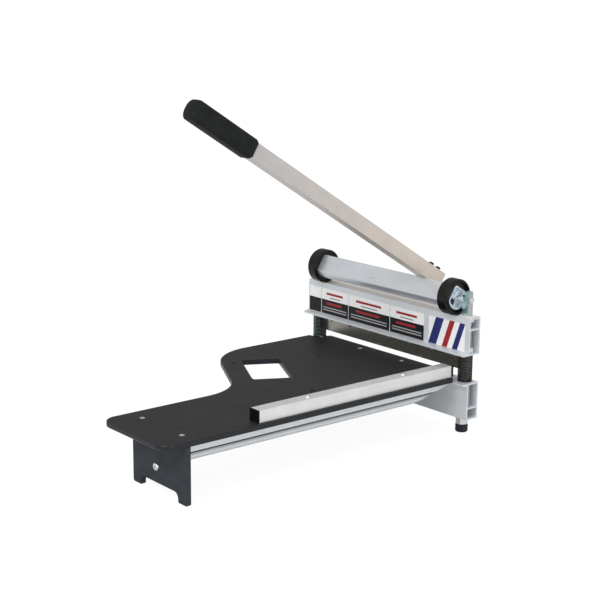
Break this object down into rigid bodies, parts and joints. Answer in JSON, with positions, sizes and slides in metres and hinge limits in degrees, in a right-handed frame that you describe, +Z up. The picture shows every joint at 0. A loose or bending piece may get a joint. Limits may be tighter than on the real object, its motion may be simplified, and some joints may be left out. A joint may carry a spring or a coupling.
{
  "type": "flooring shear",
  "caption": "Bench shear for floor planks: a blade under a guided beam, pressed down by a long cam lever, with a table board, fence and return springs.",
  "frame": {"origin": "on the ground under the middle of the part's bounding box, with the lever up", "axes": "+X along the beams towards the lever's end, +Y from the table's free end to the beams, +Z up"},
  "size_m": [0.42, 0.647, 0.582],
  "materials": {
    "beam_aluminium": "extruded, fine lines along its length",
    "fence_aluminium": "extruded, satin",
    "rail_aluminium": "extruded, satin",
    "cam_aluminium": "extruded, satin",
    "plug_aluminium": "sawn end of an extrusion",
    "handle_aluminium": "drawn tube, satin",
    "board_plastic": "fine textured black",
    "leg_plastic": "fine textured black",
    "cap_plastic": "moulded black plug",
    "wheel_nylon": "turned black nylon",
    "bush_plastic": "white, slick",
    "panel_film": "printed film in plain colour blocks",
    "foot_rubber": "moulded black",
    "grip_rubber": "moulded black foam-like grip",
    "post_zinc": "zinc plated square bar",
    "bright_zinc": "bright zinc plated",
    "blade_steel": "dark ground tool steel",
    "spring_steel": "dark oiled wire",
    "black_steel": "black oxide"
  },
  "bodies": {
    "base": {"lower_beam": "beam_aluminium", "table_board": "board_plastic", "table_leg": "leg_plastic", "leg_block": "cap_plastic", "leg_screw": "bright_zinc", "leg_end_screws": "bright_zinc", "beam_board_screws": "bright_zinc", "table_rail": "rail_aluminium", "fence_tube": "fence_aluminium", "fence_outer_cap": "cap_plastic", "fence_inner_cap": "cap_plastic", "fence_screws": "bright_zinc", "near_guide_post": "post_zinc", "far_guide_post": "post_zinc", "post_screws": "bright_zinc", "near_foot_cap": "foot_rubber", "far_foot_cap": "foot_rubber", "foot_studs": "bright_zinc", "foot_nuts": "bright_zinc", "near_return_spring": "spring_steel", "far_return_spring": "spring_steel", "lower_spring_seats": "bright_zinc", "near_pivot_pin": "bright_zinc", "far_pivot_pin": "bright_zinc", "pivot_nuts": "bright_zinc", "pivot_washers": "bright_zinc"},
    "head": {"upper_beam": "beam_aluminium", "near_guide_bushes": "bush_plastic", "far_guide_bushes": "bush_plastic", "blade": "blade_steel", "blade_screws": "bright_zinc", "blade_nuts": "bright_zinc", "front_panels": "panel_film", "upper_spring_seats": "bright_zinc"},
    "lever": {"cam_tube": "cam_aluminium", "near_cam_wheel": "wheel_nylon", "far_cam_wheel": "wheel_nylon", "near_cam_plug": "plug_aluminium", "far_cam_plug": "plug_aluminium", "handle_tube": "handle_aluminium", "handle_grip": "grip_rubber", "handle_bolts": "black_steel", "handle_bolt_plate": "bright_zinc"}
  },
  "joints": [
    {"name": "handle_swing", "type": "hinge", "parent": "base", "child": "lever", "pos_m": [0, 0.29403, 0.23272], "axis": [1, 0, 0], "range_deg": [0, 43]},
    {"name": "head_slide", "type": "slide", "parent": "base", "child": "head", "axis": [0, 0, -1], "range_m": [0, 0.0092], "stiffness_N_per_m": 3000, "springref_m": -0.05, "deforming": ["near_return_spring", "far_return_spring"]}
  ],
  "couplings": [
    {"joint": "head_slide", "follows": "handle_swing", "m_per_rad": 0.0122}
  ]
}
